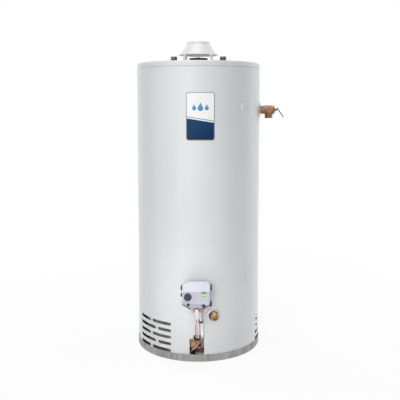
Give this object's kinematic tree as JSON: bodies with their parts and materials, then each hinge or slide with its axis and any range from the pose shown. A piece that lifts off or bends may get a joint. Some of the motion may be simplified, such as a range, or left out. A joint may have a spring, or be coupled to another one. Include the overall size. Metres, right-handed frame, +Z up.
{
  "type": "tank water heater",
  "caption": "Upright tank gas water heater: white jacket on a galvanised base, draft hood, water nipples, relief valve with lever, gas control with knob, burner tubes and drain.",
  "frame": {"origin": "middle of the base pan's underside, on the floor under the flue", "axes": "+Z up along the flue, front with the gas control towards -Y, relief valve towards +X"},
  "size_m": [0.6108, 0.6228, 1.26],
  "materials": {
    "jacket_white": "baked enamel",
    "hood_white": "baked enamel",
    "galvanised": "galvanised sheet",
    "tank_steel": "mill scale",
    "flue_steel": "heat-browned steel",
    "nipple_steel": "dark zinc",
    "zinc_steel": "zinc plated",
    "rust_steel": "heat-coloured",
    "burner_steel": "satin",
    "brass": "machined",
    "lever_metal": "dark",
    "foam": "rigid foam",
    "wool": "mineral wool",
    "white_plastic": "moulded",
    "pale_plastic": "moulded",
    "plate": "printed sheet",
    "liner_plastic": "moulded",
    "anode_alloy": "cast",
    "aluminium": "drawn",
    "casting": "die cast",
    "black_plastic": "moulded",
    "cover_plastic": "moulded",
    "board": "solder mask",
    "window": "clear tinted",
    "black_rubber": "moulded",
    "lead_red": "insulation",
    "lead_white": "insulation"
  },
  "bodies": {
    "heater": {"base_pan": "galvanised", "jacket": "jacket_white", "jacket_top": "jacket_white", "sheet_screws": "zinc_steel", "access_panel": "jacket_white", "jacket_plugs": "white_plastic", "name_plate": "plate", "tank_spuds": "tank_steel", "tank_shell": "tank_steel", "top_head": "tank_steel", "bottom_head": "tank_steel", "flue_tube": "flue_steel", "flue_baffle": "flue_steel", "foam_dam": "wool", "foam_insulation": "foam", "cold_nipple": "nipple_steel", "hot_nipple": "nipple_steel", "nipple_liners": "liner_plastic", "dip_tube": "liner_plastic", "anode_cap": "zinc_steel", "anode_rod": "anode_alloy", "draft_hood": "hood_white", "hood_legs": "galvanised", "hood_rivets": "aluminium", "relief_body": "brass", "relief_bonnet": "brass", "relief_spring": "zinc_steel", "relief_probe": "brass", "relief_ring": "pale_plastic", "control_body": "casting", "control_housing": "black_plastic", "control_board": "board", "control_cover": "cover_plastic", "cover_screws": "zinc_steel", "status_window": "window", "lead_connector": "black_plastic", "manifold_tube": "aluminium", "pilot_tube": "aluminium", "manifold_nut": "brass", "pilot_nut": "brass", "lead_red": "lead_red", "lead_white": "lead_white", "grommet": "black_rubber", "lead_clip": "black_rubber", "burner_orifice": "brass", "burner_head": "burner_steel", "burner_bracket": "rust_steel", "floor_shield": "galvanised", "pilot_burner": "burner_steel", "thermopile": "burner_steel", "drain_body": "brass", "drain_collar": "pale_plastic"},
    "relief_stem": {"relief_stem": "brass", "lever_pin": "zinc_steel"},
    "relief_lever": {"relief_lever": "lever_metal"},
    "knob_shaft": {"knob_shaft": "zinc_steel"},
    "gas_knob": {"gas_knob": "black_plastic"},
    "igniter_button": {"igniter_button": "black_plastic"},
    "drain_washer": {"drain_washer": "black_rubber"},
    "drain_stem": {"drain_stem": "brass"}
  },
  "joints": [
    {"name": "relief_stem_slide", "type": "slide", "parent": "heater", "child": "relief_stem", "axis": [1, 0, 0], "range_m": [0, 0.0037]},
    {"name": "relief_lever_hinge", "type": "hinge", "parent": "relief_stem", "child": "relief_lever", "pos_m": [0.3235, 0, 0.982], "axis": [0, -1, 0], "range_deg": [0, 65], "stiffness_Nm_per_rad": 0.3},
    {"name": "knob_push", "type": "slide", "parent": "heater", "child": "knob_shaft", "axis": [0, 1, 0], "range_m": [0, 0.004], "stiffness_N_per_m": 400},
    {"name": "knob_turn", "type": "hinge", "parent": "knob_shaft", "child": "gas_knob", "pos_m": [-0.0312, -0.36, 0.2895], "axis": [0, -1, 0], "range_deg": [0, 270]},
    {"name": "igniter_push", "type": "slide", "parent": "heater", "child": "igniter_button", "axis": [0, 0.774, 0.6332], "range_m": [0, 0.004], "stiffness_N_per_m": 500},
    {"name": "drain_washer_slide", "type": "slide", "parent": "heater", "child": "drain_washer", "axis": [0.2521, -0.9677, 0], "range_m": [0, 0.003]},
    {"name": "drain_stem_turn", "type": "hinge", "parent": "drain_washer", "child": "drain_stem", "pos_m": [0.06655, -0.25548, 0.184], "axis": [0.2521, -0.9677, 0], "range_deg": [0, 720]}
  ],
  "couplings": [
    {"joint": "relief_stem_slide", "follows": "relief_lever_hinge", "m_per_rad": 0.00326},
    {"joint": "drain_washer_slide", "follows": "drain_stem_turn", "m_per_rad": 0.0002387}
  ]
}
